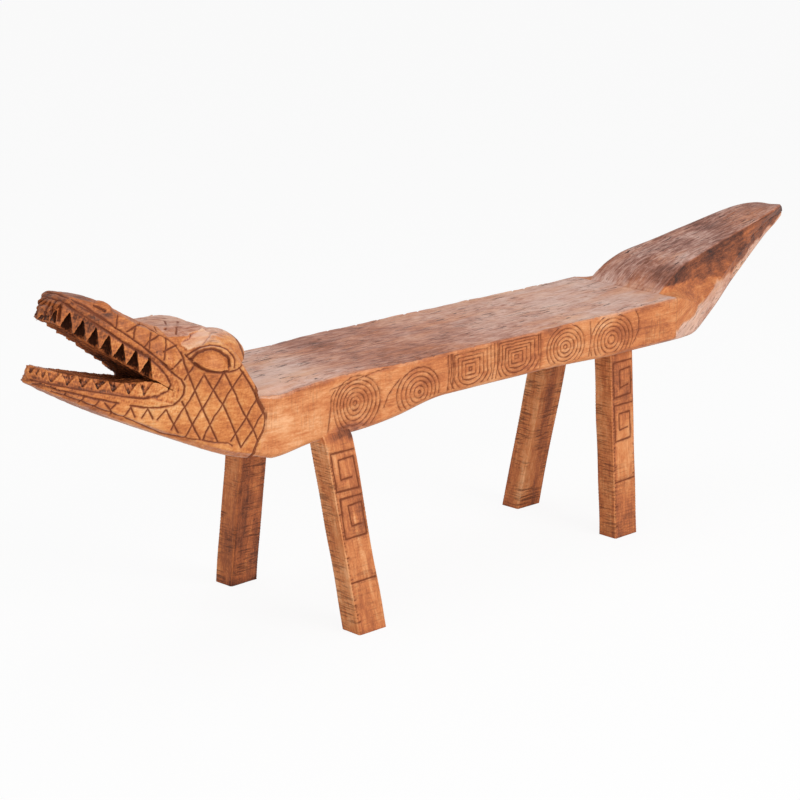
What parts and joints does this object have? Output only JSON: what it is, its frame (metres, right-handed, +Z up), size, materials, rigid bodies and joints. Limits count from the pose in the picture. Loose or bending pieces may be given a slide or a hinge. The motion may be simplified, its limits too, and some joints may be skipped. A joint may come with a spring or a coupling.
{
  "type": "carved wooden bench",
  "caption": "Wooden bench carved from a long log as an open-jawed crocodile, with a flat seat along its back, a rising tail and splayed square legs.",
  "frame": {"origin": "on the floor below the middle of the bench's overall length and width", "axes": "+X from the jaws to the tail, +Y across the bench, +Z up"},
  "size_m": [2.135, 0.4336, 0.7142],
  "materials": {
    "carved_wood": "satin oiled",
    "leg_wood": "satin oiled",
    "wedge_wood": "plain"
  },
  "bodies": {
    "root": {"carved_body": "carved_wood", "foreleg_left": "leg_wood", "foreleg_right": "leg_wood", "hindleg_left": "leg_wood", "hindleg_right": "leg_wood", "foreleg_left_wedge": "wedge_wood", "foreleg_right_wedge": "wedge_wood", "hindleg_left_wedge": "wedge_wood", "hindleg_right_wedge": "wedge_wood"}
  },
  "joints": []
}
